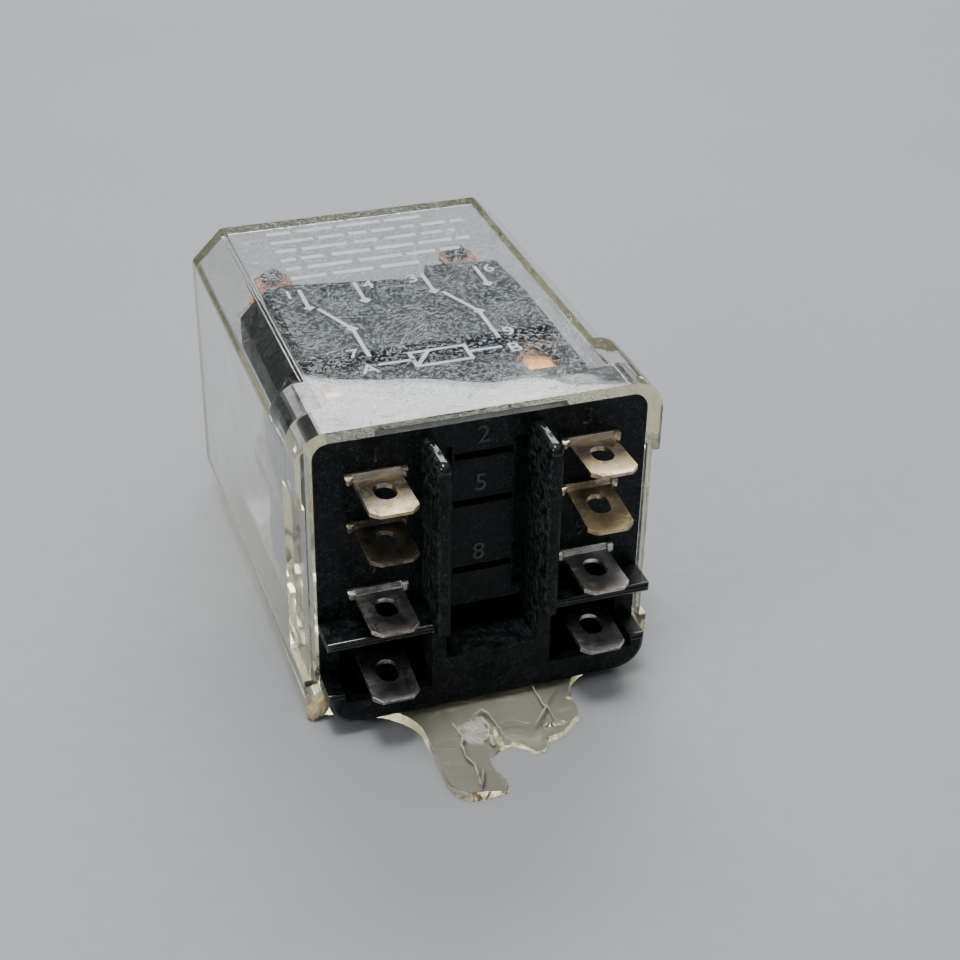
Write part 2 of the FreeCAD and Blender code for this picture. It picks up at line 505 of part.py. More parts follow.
def moving_blade(x):
    half, z0 = MOVING_W / 2, CARRIER_TOP
    straight_end = MOVING_BACK - half
    plan = [(x - half, MOVING_FRONT), (x - half, straight_end),
            ((x, MOVING_BACK), (x + half, straight_end)), (x + half, MOVING_FRONT)]
    strip = plate_xy(plan, z0, z0 + MOVING_T)
    holes = [Part.makeCylinder(SHANK_R, 2, V(x, y, z0 - 1)) for y in (BLADE_RIVET_Y, CONTACT_Y)]
    return cut_all(strip, holes)


def moving_contact(x):
    low, high = CARRIER_TOP, CARRIER_TOP + MOVING_T
    shank = Part.makeCylinder(SHANK_R, MOVING_T, V(x, CONTACT_Y, low))
    upper = Part.makeCylinder(CONTACT_R, UPPER_BUTTON, V(x, CONTACT_Y, high))
    lower = Part.makeCylinder(CONTACT_R, LOWER_BUTTON, V(x, CONTACT_Y, low - LOWER_BUTTON))
    return fuse_all([shank, upper, lower])


def rivet(centre, axis, grip, head_r, head_h):
    """Headed pin: the head sits before centre, the shank fills the grip behind it."""
    head = Part.makeCylinder(head_r, head_h, centre - axis * head_h, axis)
    head = head.makeFillet(head_h * 0.6, [head.Edges[2] if head.Edges[2].Closed else head.Edges[0]])
    return fuse_all([head, Part.makeCylinder(SHANK_R, grip, centre, axis)])


def rivet_pair(x, y, z, axis, grip, head_r, head_h):
    return Part.makeCompound([rivet(V(s * x, y, z), axis, grip, head_r, head_h) for s in (-1, 1)])


def pigtail(side):
    """Flexible braid from the common blade up to the moving blade."""
    under_blade = CARRIER_TOP - PIGTAIL_R - FIT_GAP
    points = [V(side * 9.4, 7.0, ROW_7 + BLADE_T / 2 + PIGTAIL_R + 2 * FIT_GAP), V(side * 8.4, 8.2, 17.6),
              V(side * 7.6, 9.4, 20.5), V(side * 7.6, 9.6, 23.2), V(side * 8.6, 10.4, under_blade),
              V(side * 10.6, 12.2, under_blade)]
    return wire_run(points, PIGTAIL_R)


# ---- write one file per piece -------------------------------------------------------------
def all_pieces():
    moving_low, moving_high = CARRIER_TOP, CARRIER_TOP + MOVING_T
    travel = (CONTACT_Y + CONTACT_R - PIVOT_Y) * math.tan(math.radians(TRAVEL_DEG))
    no_face = moving_low - LOWER_BUTTON - travel - CONTACT_GAP
    nc_face = moving_high + UPPER_BUTTON + CONTACT_GAP
    pieces = {"dust_cover": dust_cover(), "base": base()}
    for name, x in (("1", -COLUMN_X), ("3", COLUMN_X)):
        pieces["terminal_" + name] = fixed_contact_terminal(x, ROW_1, DROOP[name])
    for name, x in (("4", -COLUMN_X), ("6", COLUMN_X)):
        pieces["terminal_" + name] = fixed_contact_terminal(x, ROW_4, DROOP[name])
    for name, x in (("7", -COLUMN_X), ("9", COLUMN_X)):
        pieces["terminal_" + name] = terminal(x, ROW_7, DROOP[name], COMMON_END, STRIP_W)
    for name, x, z in (("a", -COLUMN_X, ROW_A), ("b", COLUMN_X, ROW_B)):
        pieces["terminal_" + name] = terminal(x, z, DROOP[name], COIL_END, COIL_STRIP_W, step=0)
    for hand, side in (("left", -1), ("right", 1)):
        x = side * COLUMN_X
        row_1_low, row_4_high = ROW_1 - BLADE_T / 2, ROW_4 + BLADE_T / 2
        pieces["nc_contact_" + hand] = contact_rivet(
            x, row_1_low, ROW_1 + BLADE_T / 2, row_1_low - nc_face, False, NC_DOME)
        pieces["no_contact_" + hand] = contact_rivet(
            x, ROW_4 - BLADE_T / 2, row_4_high, no_face - row_4_high, True, NO_DOME)
        pieces["moving_blade_" + hand] = moving_blade(x)
        pieces["moving_contact_" + hand] = moving_contact(x)
        pieces["pigtail_" + hand] = pigtail(side)
    pieces["coil_lead_a"] = coil_lead(-1, ROW_A)
    pieces["coil_lead_b"] = coil_lead(1, ROW_B)
    pieces["armature"] = armature()
    pieces["contact_carrier"] = contact_carrier()
    pieces["yoke"] = yoke()
    pieces["core"] = core()
    pieces["shading_ring"] = shading_ring()
    pieces["bobbin"] = bobbin()
    pieces["winding"] = winding()
    pieces["coil_tape"] = coil_tape()
    pieces["return_spring"] = return_spring()
    foot_top = ARM_Z1 + CARRIER_FOOT_T
    pieces["blade_rivets"] = rivet_pair(COLUMN_X, BLADE_RIVET_Y, moving_high, -Z_AXIS, MOVING_T + BAR_T,
                                        BLADE_HEAD_R, HEAD_H)
    pieces["carrier_rivets"] = rivet_pair(CARRIER_RIVET_X, CARRIER_RIVET_Y, foot_top, -Z_AXIS,
                                          foot_top - ARM_Z0, CARRIER_HEAD_R, HEAD_H)
    pieces["frame_rivets"] = rivet_pair(FRAME_RIVET_X, YOKE_FRONT + YOKE_T, FRAME_RIVET_Z, -Y_AXIS,
                                        FRAME_GRIP, BLADE_HEAD_R, FRAME_HEAD_H)
    return pieces


os.makedirs("parts", exist_ok=True)
for node, shape in all_pieces().items():
    if not shape.isValid():
        print("not valid:", node)
    shape.exportStep(os.path.join("parts", node + ".step"))
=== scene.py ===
import json
import math
import random

import bmesh
import bpy
from mathutils import Matrix, Vector, noise


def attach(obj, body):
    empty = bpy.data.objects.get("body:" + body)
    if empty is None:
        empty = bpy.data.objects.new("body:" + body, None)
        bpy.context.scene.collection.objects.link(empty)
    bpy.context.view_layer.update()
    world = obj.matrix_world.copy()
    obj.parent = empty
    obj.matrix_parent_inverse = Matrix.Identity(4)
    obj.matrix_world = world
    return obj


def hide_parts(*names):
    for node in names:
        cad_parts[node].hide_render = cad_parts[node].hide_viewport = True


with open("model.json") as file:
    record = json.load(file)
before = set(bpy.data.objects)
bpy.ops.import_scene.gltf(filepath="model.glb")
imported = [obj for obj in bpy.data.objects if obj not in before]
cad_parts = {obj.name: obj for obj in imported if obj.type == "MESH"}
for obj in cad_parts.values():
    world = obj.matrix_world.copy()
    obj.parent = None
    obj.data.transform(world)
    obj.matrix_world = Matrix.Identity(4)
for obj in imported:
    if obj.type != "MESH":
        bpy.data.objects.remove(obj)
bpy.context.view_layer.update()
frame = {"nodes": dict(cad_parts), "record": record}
noise.seed_set(11)      # noise_vector differs from run to run without a seed

# Lengths and places are in millimetres: X across the relay, Y from the blades to the back, Z up.
MM = 0.001
FLOOR_GAP = 0.06
CASE_TOP = 33.1
MIDDLE = (0, 15, 15)


# ---- camera, floor and light --------------------------------------------------------------
def place_camera():
    """Looks down on the terminal face from the front left."""
    place = Vector((-49.1, -134.6, 115.9)) * MM
    heading, elevation, roll = math.radians(19.9), math.radians(32.37), math.radians(1.19)
    data = bpy.data.cameras.new("camera")
    data.sensor_width, data.lens = 36.0, 66.3
    data.clip_start, data.clip_end = 0.01, 10.0
    camera = bpy.data.objects.new("camera", data)
    turn = Matrix.Rotation(-heading, 4, "Z") @ Matrix.Rotation(math.pi / 2 - elevation, 4, "X")
    camera.matrix_world = Matrix.Translation(place) @ turn @ Matrix.Rotation(roll, 4, "Z")
    bpy.context.scene.collection.objects.link(camera)
    bpy.context.scene.camera = camera


def area_light(name, place_mm, size_mm, watts, colour=(1, 1, 1)):
    """A rectangular lamp that faces the middle of the relay."""
    data = bpy.data.lights.new(name, "AREA")
    data.shape = "RECTANGLE"
    data.size, data.size_y = size_mm[0] * MM, size_mm[1] * MM
    data.energy, data.color = watts, colour
    light = bpy.data.objects.new(name, data)
    place, aim = Vector(place_mm) * MM, Vector(MIDDLE) * MM
    turn = (place - aim).to_track_quat("Z", "Y").to_matrix().to_4x4()
    light.matrix_world = Matrix.Translation(place) @ turn
    bpy.context.scene.collection.objects.link(light)


def light_scene():
    """A grey sky that brightens overhead, a window behind, a ceiling lamp and a weak side lamp."""
    world = bpy.data.worlds.new("studio")
    world.use_nodes = True
    nodes, links = world.node_tree.nodes, world.node_tree.links
    height = nodes.new("ShaderNodeSeparateXYZ")
    links.new(nodes.new("ShaderNodeTexCoord").outputs["Generated"], height.inputs[0])
    sky = nodes.new("ShaderNodeValToRGB")
    stops = sky.color_ramp.elements
    stops[0].position, stops[0].color = 0.1, (0.15, 0.155, 0.16, 1)
    stops[1].position, stops[1].color = 0.85, (0.98, 1.02, 1.08, 1)
    middle_stop = stops.new(0.5)
    middle_stop.color = (0.14, 0.155, 0.18, 1)
    links.new(height.outputs["Z"], sky.inputs[0])
    links.new(sky.outputs[0], nodes["Background"].inputs["Color"])
    nodes["Background"].inputs["Strength"].default_value = 0.6
    bpy.context.scene.world = world
    area_light("window", (157, 446, 406), (460, 200), 2.1, (0.97, 0.985, 1))
    area_light("ceiling", (-60, -40, 560), (170, 170), 1.8)
    area_light("side", (-420, -160, 260), (110, 110), 0.4, (1, 0.98, 0.95))


# ---- materials ----------------------------------------------------------------------------
class Finish:
    """A Principled material and short calls for its nodes, with coordinates in millimetres."""

    def __init__(self, name, values):
        self.material = bpy.data.materials.new(name)
        self.material.use_nodes = True
        self.tree = self.material.node_tree
        self.shader = self.tree.nodes["Principled BSDF"]
        self.output = self.tree.nodes["Material Output"]
        for socket, value in values.items():
            self.shader.inputs[socket].default_value = value

    def feed(self, socket, value):
        """Links a node's output to a socket, or sets the socket to a plain value."""
        if isinstance(value, bpy.types.NodeSocket):
            self.tree.links.new(value, socket)
        else:
            socket.default_value = value

    def node(self, kind, inputs, output=0, **settings):
        """Adds a shader node, sets its inputs and gives back one of its outputs."""
        made = self.tree.nodes.new("ShaderNode" + kind)
        for name, value in settings.items():
            setattr(made, name, value)
        for name, value in inputs.items():
            self.feed(made.inputs[name], value)
        return made.outputs[output]

    def place(self, stretch=(1, 1, 1), turn=(0, 0, 0), shift=(0, 0, 0)):
        """Object coordinates in millimetres, turned and then stretched."""
        turned = self.node("Mapping", {"Vector": self.node("TexCoord", {}, "Object"), "Rotation": turn})
        scale = [s / MM for s in stretch]
        return self.node("Mapping", {"Vector": turned, "Location": shift, "Scale": scale})

    def along(self, axis):
        """The place along an axis."""
        return self.node("SeparateXYZ", {0: self.place()}, axis)

    def noise(self, scale, detail=3.0, rough=0.5, distort=0.0, **where):
        return self.node("TexNoise", {"Vector": self.place(**where), "Scale": scale, "Detail": detail,
                                      "Roughness": rough, "Distortion": distort})

    def ramp(self, value, low, high, start=0.0, end=1.0):
        """start below low, end above high, smooth between."""
        return self.node("MapRange", {"Value": value, "From Min": low, "From Max": high,
                                      "To Min": start, "To Max": end}, interpolation_type="SMOOTHSTEP")

    def facing(self, axis):
        """How squarely the surface faces along an axis, 0 to 1."""
        normal = self.node("TexCoord", {}, "Normal")
        return self.math("ABSOLUTE", self.node("SeparateXYZ", {0: normal}, axis))

    def hair(self, scale, width, distort=0.6, **where):
        """Thin curling lines, 1 on the line and 0 off it, gathered in patches."""
        off = self.math("ABSOLUTE", self.math("SUBTRACT", self.noise(scale, 3, 0.6, distort, **where), 0.5))
        patch = self.ramp(self.noise(scale * 0.7, 2, 0.5, shift=(11, 5, 2)), 0.46, 0.6)
        return self.math("MULTIPLY", self.ramp(off, 0.0, width, 1.0, 0.0), patch)

    def math(self, operation, a, b=0.0):
        return self.node("Math", {0: a, 1: b}, operation=operation)

    def mix(self, factor, a, b):
        return self.node("Mix", {0: factor, 6: a, 7: b}, 2, data_type="RGBA")

    def attribute(self, name):
        return self.node("Attribute", {}, "Fac", attribute_name=name)

    def set(self, socket, value):
        self.feed(self.shader.inputs[socket], value)

    def bump(self, *layers):
        """Each layer is a height from 0 to 1 and the depth in millimetres that it stands for."""
        normal = None
        for height, depth in layers:
            inputs = {"Height": height, "Distance": depth * MM, "Strength": 1.0}
            if normal is not None:
                inputs["Normal"] = normal
            normal = self.node("Bump", inputs)
        self.set("Normal", normal)


def clear_cover():
    """Clear, slightly yellow plastic, scuffed, with pale specks on top and white frost at the break."""
    f = Finish("clear_cover", {"IOR": 1.5})
    haze = f.ramp(f.noise(0.22, 4, 0.6), 0.45, 0.75)
    scratch = f.hair(0.5, 0.006, stretch=(2.2, 0.3, 1), turn=(0, 0, 0.7))
    fine = f.hair(0.35, 0.004, stretch=(0.3, 3, 1), turn=(0, 0, 0.35), shift=(9, 3, 0))
    marks = f.math("MAXIMUM", scratch, fine)
    frost = f.attribute("frost")
    ear = f.ramp(f.along("Y"), -0.5, 1.5, 1.0, 0.0)

    beside = f.math("ABSOLUTE", f.along("X"))
    inward = f.math("MULTIPLY", f.ramp(beside, 13.4, 15.0, 1.0, 0.0), f.ramp(f.along("Y"), 0.8, 2.4))
    high = f.math("MULTIPLY", f.ramp(f.along("Z"), 20.0, 28.0), inward)
    on_top = f.math("MULTIPLY", f.ramp(f.facing("Z"), 0.9, 0.98), high)
    specks = f.math("MULTIPLY", f.ramp(f.noise(2.5, 3, 0.6, shift=(2, 4, 0)), 0.54, 0.61), on_top)

    rough = f.math("ADD", f.math("MULTIPLY", haze, 0.03), f.math("MULTIPLY", marks, 0.2))
    f.set("Roughness", f.math("MAXIMUM", f.math("ADD", rough, 0.012), f.math("MULTIPLY", frost, 0.55)))
    clear = f.math("SUBTRACT", f.ramp(frost, 0.25, 1.0, 1.0, 0.25), f.math("MULTIPLY", specks, 0.32))
    f.set("Transmission Weight", clear)
    tint = f.mix(ear, (0.99, 0.99, 0.98, 1), (0.985, 0.97, 0.9, 1))
    f.set("Base Color", f.mix(specks, tint, (0.76, 0.88, 1.0, 1)))
    f.bump((f.noise(0.09, 1), 0.028), (marks, -0.005), (f.math("MULTIPLY", f.noise(3.0, 4), frost), 0.12))

    # Lamps shine straight through, since the scene has no caustics.
    through = f.node("BsdfTransparent", {"Color": f.mix(ear, (0.86, 0.86, 0.82, 1), (0.95, 0.94, 0.88, 1))})
    lamps = f.node("LightPath", {}, "Is Shadow Ray")
    mixed = f.node("MixShader", {0: lamps, 1: f.shader.outputs[0], 2: through})
    f.feed(f.output.inputs["Surface"], mixed)
    depth = f.node("VolumeAbsorption", {"Color": (0.93, 0.88, 0.55, 1), "Density": 19.0})
    f.feed(f.output.inputs["Volume"], depth)
    return f.material


def black_phenolic():
    """Black moulding, grimy: a grey film on its sides that is part dust and part painted sheen, fine hairs
    and specks of dust.
    """
    f = Finish("black_phenolic", {"IOR": 1.5, "Specular IOR Level": 0.16})
    grain = f.noise(2.2, 5, 0.65)
    blotch = f.ramp(f.noise(0.28, 4, 0.6), 0.42, 0.66)
    # The grey film is strongest on faces turned to X: part dust, part painted sheen on the barrier sides.
    sideways = f.ramp(f.facing("X"), 0.5, 0.9, 0.1, 0.7)
    film_and_side_sheen = f.math("MULTIPLY", f.ramp(f.noise(1.6, 5, 0.7), 0.42, 0.68), sideways)
    hairs = f.math("MAXIMUM", f.hair(0.8, 0.018, 1.6), f.hair(1.5, 0.02, 1.2, shift=(3, 8, 1)))
    speck = f.ramp(f.noise(4.5, 2, 0.5, shift=(1, 5, 2)), 0.69, 0.74)
    light = f.math("MAXIMUM", film_and_side_sheen, f.math("MAXIMUM", f.math("MULTIPLY", hairs, 0.6), speck))
    colour = f.mix(blotch, (0.0022, 0.003, 0.004, 1), (0.005, 0.0062, 0.0068, 1))
    f.set("Base Color", f.mix(light, colour, (0.1, 0.125, 0.115, 1)))
    f.set("Roughness", f.math("ADD", f.ramp(blotch, 0, 1, 0.3, 0.42), f.math("MULTIPLY", light, 0.3)))
    f.bump((grain, 0.009), (f.noise(0.5, 2), 0.02), (hairs, -0.01))
    return f.material


def black_edge():
    """The same moulding where handling has polished its edges."""
    f = Finish("black_edge", {"IOR": 1.55})
    rub = f.ramp(f.noise(1.1, 5, 0.7), 0.48, 0.72)
    f.set("Base Color", f.mix(rub, (0.006, 0.008, 0.008, 1), (0.045, 0.054, 0.05, 1)))
    f.set("Roughness", f.ramp(rub, 0, 1, 0.1, 0.32))
    f.bump((f.noise(2.5, 4, 0.6), 0.006))
    return f.material


def blade_metal(name, clean, tarnish, stain, dull, seed, brush=(0.35, 9, 3)):
    """Tinned brass: brushed, tarnished in patches, stained towards the tip, and copper inside the case,
    darkened further in by painted shade.
    """
    f = Finish(name, {"Metallic": 1.0})
    lines = f.noise(1.0, 4, 0.7, stretch=brush, shift=(seed, 0, 0))
    patch = f.ramp(f.noise(0.62, 5, 0.68, 0.6, shift=(seed, seed, 1)), 0.5 - 0.22 * dull, 0.74 - 0.2 * dull)
    spots = f.ramp(f.noise(2.6, 3, 0.6, shift=(seed, 2, 3)), 0.6, 0.7)
    tip = f.ramp(f.along("Y"), -6.5, -4.5, 0.3, 0.0)
    gold = f.ramp(f.math("ADD", f.noise(0.4, 3, 0.5, 0.4, shift=(3, seed, 5)), tip), 0.5, 0.66)
    colour = f.mix(f.ramp(lines, 0.42, 0.66, 0.0, 0.9), clean, tarnish)
    colour = f.mix(f.math("MULTIPLY", gold, 0.65), colour, stain)
    colour = f.mix(f.math("MULTIPLY", patch, 0.85), colour, tarnish)
    colour = f.mix(f.math("MULTIPLY", spots, 0.7), colour, tarnish)
    inside = f.ramp(f.along("Y"), 4.0, 7.0)
    # Further back inside the case the copper turns dark brown: painted shade.
    shaded_further_in = f.ramp(f.along("Y"), 18.0, 32.0)
    copper = f.mix(shaded_further_in, f.mix(lines, (1.0, 0.5, 0.12, 1), (0.9, 0.38, 0.07, 1)), (0.2, 0.08, 0.045, 1))
    f.set("Base Color", f.mix(inside, colour, copper))
    f.set("Roughness", f.math("ADD", f.ramp(patch, 0, 1, 0.26, 0.46), f.math("MULTIPLY", lines, 0.12)))
    f.bump((lines, 0.011), (f.noise(0.9, 3, shift=(seed, 0, 0)), 0.02), (spots, -0.008))
    return f.material


def bright_edge():
    """Bare metal along the sheared edges of the blades."""
    f = Finish("blade_edge", {"Metallic": 1.0})
    worn = f.noise(1.8, 4, 0.6)
    f.set("Base Color", f.mix(f.ramp(worn, 0.35, 0.65), (0.5, 0.46, 0.38, 1), (0.86, 0.83, 0.76, 1)))
    f.set("Roughness", f.ramp(worn, 0.3, 0.7, 0.18, 0.38))
    f.bump((f.noise(4.0, 3), 0.01))
    return f.material


def metal(name, light, dark, rough, scale=0.8, grain=(1, 1, 1), depth=0.01):
    """Bare metal in two shades, with a grain that can be stretched one way."""
    f = Finish(name, {"Metallic": 1.0})
    cloud = f.ramp(f.noise(scale, 5, 0.65), 0.35, 0.7)
    fine = f.noise(3.0, 3, 0.6, stretch=grain)
    f.set("Base Color", f.mix(cloud, light, dark))
    f.set("Roughness", f.math("ADD", f.ramp(cloud, 0, 1, rough, rough + 0.14), f.math("MULTIPLY", fine, 0.1)))
    f.bump((fine, depth))
    return f.material


def moulded(name, light, dark, rough, scatter=0.0):
    """Plastic in two shades, with light scattering in it where scatter is above 0."""
    f = Finish(name, {"Subsurface Weight": scatter, "Subsurface Scale": 0.002, "IOR": 1.5})
    cloud = f.noise(0.4, 4, 0.6)
    f.set("Base Color", f.mix(f.ramp(cloud, 0.35, 0.7), light, dark))
    f.set("Roughness", f.ramp(cloud, 0.3, 0.7, rough, rough + 0.15))
    f.bump((f.noise(2.5, 4), 0.015))
    return f.material


def coil_tape_finish():
    """Blue tape, glossy and a little creased."""
    f = Finish("blue_tape", {"IOR": 1.5, "Coat Weight": 0.4, "Coat Roughness": 0.15})
    f.set("Base Color", f.mix(f.noise(0.5, 3), (0.04, 0.085, 0.27, 1), (0.075, 0.14, 0.36, 1)))
    f.set("Roughness", f.ramp(f.noise(1.5, 3), 0.3, 0.7, 0.25, 0.42))
    f.bump((f.noise(1.0, 3, stretch=(1, 1, 0.25)), 0.08), (f.noise(1.0, 1, stretch=(0.1, 0.1, 5)), 0.03))
    return f.material


def wire_finish():
    """Enamelled copper wire, with ribs for the turns of the winding."""
    f = Finish("enamelled_wire", {"Metallic": 0.85, "Coat Weight": 0.8, "Coat Roughness": 0.1})
    f.set("Base Color", f.mix(f.noise(1.2, 3), (0.36, 0.12, 0.04, 1), (0.5, 0.2, 0.07, 1)))
    f.set("Roughness", f.ramp(f.noise(3, 2), 0.3, 0.7, 0.25, 0.4))
    f.bump((f.node("TexWave", {"Vector": f.place(), "Scale": 1.6, "Distortion": 0.4},
                   1, bands_direction="Z"), 0.06))
    return f.material


def make_finishes():
    warm, olive = (0.46, 0.41, 0.35, 1), (0.3, 0.25, 0.17, 1)
    grey_tin, dark_tin = (0.76, 0.76, 0.74, 1), (0.2, 0.2, 0.19, 1)
    gold, pink = (0.75, 0.57, 0.3, 1), (0.56, 0.42, 0.36, 1)
    return {
        "clear_cover": clear_cover(),
        "black_phenolic": black_phenolic(),
        "black_edge": black_edge(),
        "crazed": moulded("crazed", (0.84, 0.8, 0.68, 1), (0.62, 0.56, 0.42, 1), 0.3, 0.3),
        "ink": moulded("ink", (0.62, 0.64, 0.65, 1), (0.5, 0.52, 0.54, 1), 0.3),
        "sealant": moulded("sealant", (0.85, 0.73, 0.45, 1), (0.66, 0.52, 0.27, 1), 0.2, 0.5),
        "blade_edge": bright_edge(),
        "blade_1": blade_metal("blade_1", warm, (0.26, 0.21, 0.16, 1), gold, 0.3, 1.0),
        "blade_3": blade_metal("blade_3", (0.52, 0.46, 0.37, 1), (0.3, 0.24, 0.16, 1), gold, 0.3, 3.0),
        "blade_4": blade_metal("blade_4", (0.24, 0.21, 0.16, 1), (0.07, 0.06, 0.045, 1), olive, 0.8, 4.0),
        "blade_6": blade_metal("blade_6", (0.66, 0.57, 0.43, 1), (0.26, 0.19, 0.1, 1), gold, 0.4, 6.0),
        "blade_7": blade_metal("blade_7", grey_tin, dark_tin, pink, 0.5, 7.0),
        "blade_9": blade_metal("blade_9", (0.86, 0.86, 0.85, 1), (0.36, 0.35, 0.34, 1), pink, 0.2, 9.0),
        "blade_a": blade_metal("blade_a", (0.6, 0.6, 0.58, 1), (0.14, 0.14, 0.135, 1), dark_tin, 0.5, 10.0),
        "blade_b": blade_metal("blade_b", grey_tin, (0.24, 0.24, 0.235, 1), dark_tin, 0.4, 12.0),
        "contact": metal("contact", (0.07, 0.075, 0.085, 1), (0.02, 0.022, 0.026, 1), 0.35, 1.2),
        "copper": metal("copper", (0.5, 0.23, 0.12, 1), (0.26, 0.11, 0.06, 1), 0.3, 0.7, (0.4, 6, 2)),
        "braid": metal("braid", (0.76, 0.42, 0.26, 1), (0.4, 0.2, 0.11, 1), 0.3, 2.0),
        "steel": metal("steel", (0.55, 0.56, 0.56, 1), (0.36, 0.36, 0.35, 1), 0.3, 0.5, (6, 0.4, 2)),
        "spring": metal("spring", (0.6, 0.6, 0.62, 1), (0.45, 0.45, 0.46, 1), 0.2, 2.0),
        "brass": metal("brass", (0.72, 0.55, 0.28, 1), (0.5, 0.36, 0.17, 1), 0.27, 1.0),
        "nylon": moulded("nylon", (0.8, 0.8, 0.76, 1), (0.7, 0.7, 0.65, 1), 0.35, 0.4),
        "tape": coil_tape_finish(),
        "wire": wire_finish(),
    }


# ---- mesh helpers -------------------------------------------------------------------------
def link_mesh(name, bm):
    """Turns a bmesh into an object in the scene."""
    mesh = bpy.data.meshes.new(name)
    bm.to_mesh(mesh)
    bm.free()
    made = bpy.data.objects.new(name, mesh)
    bpy.context.scene.collection.objects.link(made)
    return made


def new_piece(name, bm, finishes, body, smooth_below=32):
    """A mesh piece on a body, with soft shading up to smooth_below degrees."""
    bmesh.ops.recalc_face_normals(bm, faces=bm.faces[:])
    limit = math.radians(smooth_below)
    for face in bm.faces:
        face.smooth = True
    for edge in bm.edges:
        edge.smooth = not edge.is_manifold or edge.calc_face_angle() < limit
    piece = link_mesh(name, bm)
    for material in finishes:
        piece.data.materials.append(material)
    weighted = piece.modifiers.new("flat_faces", "WEIGHTED_NORMAL")
    weighted.keep_sharp = True
    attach(piece, body)
    return piece


def clean_copy(node):
    """The node's mesh with its corners joined and its flat faces whole again."""
    bm = bmesh.new()
    bm.from_mesh(frame["nodes"][node].data)
    bmesh.ops.remove_doubles(bm, verts=bm.verts[:], dist=0.002 * MM)
    bmesh.ops.dissolve_limit(bm, angle_limit=math.radians(0.5), verts=bm.verts[:], edges=bm.edges[:])
    for face in bm.faces:
        face.material_index = 0
    return bm


def soften(bm, width, segments=2, above=28, material=-1):
    """Rounds off every edge sharper than the angle above."""
    limit = math.radians(above)
    sharp = [e for e in bm.edges if e.is_manifold and e.calc_face_angle() > limit]
    bmesh.ops.bevel(bm, geom=sharp, offset=width * MM, segments=segments, profile=0.6, affect="EDGES",
                    clamp_overlap=True, material=material, loop_slide=True)


def slice_along(bm, axis, places_mm, keep=lambda face: True):
    """Cuts the faces that pass keep by planes square to an axis, so that they can bend."""
    normal = Vector([float(i == axis) for i in range(3)])
    for place in places_mm:
        faces = [f for f in bm.faces if keep(f)]
        edges = {e for f in faces for e in f.edges}
        verts = {v for f in faces for v in f.verts}
        bmesh.ops.bisect_plane(bm, geom=list(verts) + list(edges) + faces,
                               plane_co=normal * place * MM, plane_no=normal)


def body_of(node):
    """The name of the rigid body that a node belongs to."""
    for body, members in frame["record"]["behaviour"]["bodies"].items():
        if node in members:
            return body


def refined(node, finishes, width=0.06, segments=2, edge_material=-1, reshape=None):
    """Replaces a CAD node by the same shape with rounded edges and, if asked, more form."""
    bm = clean_copy(node)
    soften(bm, width, segments, material=edge_material)
    if reshape:
        reshape(bm)
    piece = new_piece(node + "_detail", bm, finishes, body_of(node))
    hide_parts(node)


# ---- the broken ear -----------------------------------------------------------------------
EAR_TOP, EAR_TIP, EAR_LEFT, EAR_RIGHT, EAR_CELL = 1.2, -16.5, -9.0, 8.7, 0.3
EAR_BREAK = [(-2.7, -16.4), (-2.4, -15.0), (-3.1, -13.1), (-2.9, -11.5), (-1.6, -10.6), (0, -10.1),
             (0.9, -10.9), (1.7, -12.0), (2.6, -12.1), (3.6, -10.9), (5.3, -10.3), (7.6, -8.6)]
# A facet drops the top face to the left of the line from a to b: a, b, slope, most, x range, y range.
EAR_FACETS = [((-4.8, -8.4), (-5.3, -16.8), 0.34, 0.7, (-5.6, -1.2), (-17.0, -8.2)),
              ((2.6, -8.8), (-0.9, -7.5), 0.3, 0.75, (-1.1, 3.4), (-13.0, -7.0)),
              ((4.7, -6.9), (2.4, -9.2), 0.16, 0.3, (2.4, 9.0), (-13.0, -6.0)),
              ((2.6, -9.0), (3.6, -10.8), 0.5, 0.5, (2.0, 6.0), (-13.0, -9.0))]
CRUSH_X, CRUSH_Y, CRUSH_R = -3.3, -7.7, 1.9
# Long cracks over the ear: their points and their width.
CRACKS = [([(-2.0, -6.1), (-1.7, -7.0), (-1.6, -8.6), (-2.0, -10.0)], 0.42),
          ([(-2.7, -5.7), (-1.6, -5.1), (-1.1, -5.9), (-0.9, -7.3), (-0.6, -9.0), (0.4, -10.3)], 0.168),
          ([(-5.0, -6.1), (-4.6, -8.3), (-5.2, -9.6), (-5.3, -11.2), (-4.9, -12.6), (-5.2, -15.6)], 0.224),
          ([(-4.2, -13.2), (-5.4, -16.2)], 0.14),
          ([(4.6, -3.0), (4.7, -6.8), (2.7, -9.0)], 0.196),
          ([(6.8, -4.2), (4.9, -6.3), (5.1, -9.6)], 0.14),
          ([(-0.7, -7.7), (0.9, -7.7), (2.3, -8.7)], 0.14)]
BRUISE_RIDGES = 20


def distance_to_path(x, y, path):
    """How far a place is from the nearest stretch of a path."""
    best = math.inf
    for (ax, ay), (bx, by) in zip(path, path[1:]):
        along = ((x - ax) * (bx - ax) + (y - ay) * (by - ay)) / ((bx - ax) ** 2 + (by - ay) ** 2)
        along = min(max(along, 0.0), 1.0)
        best = min(best, math.hypot(x - ax - along * (bx - ax), y - ay - along * (by - ay)))
    return best


def crush(x, y):
    """1 in the middle of the white bruise beside the break, 0 away from it."""
    wobble = 0.5 * noise.noise(Vector((x * 1.1, y * 1.1, 3.0)))
    return min(max(1.35 - math.hypot(x - CRUSH_X, y - CRUSH_Y) / CRUSH_R + wobble, 0.0), 1.0)


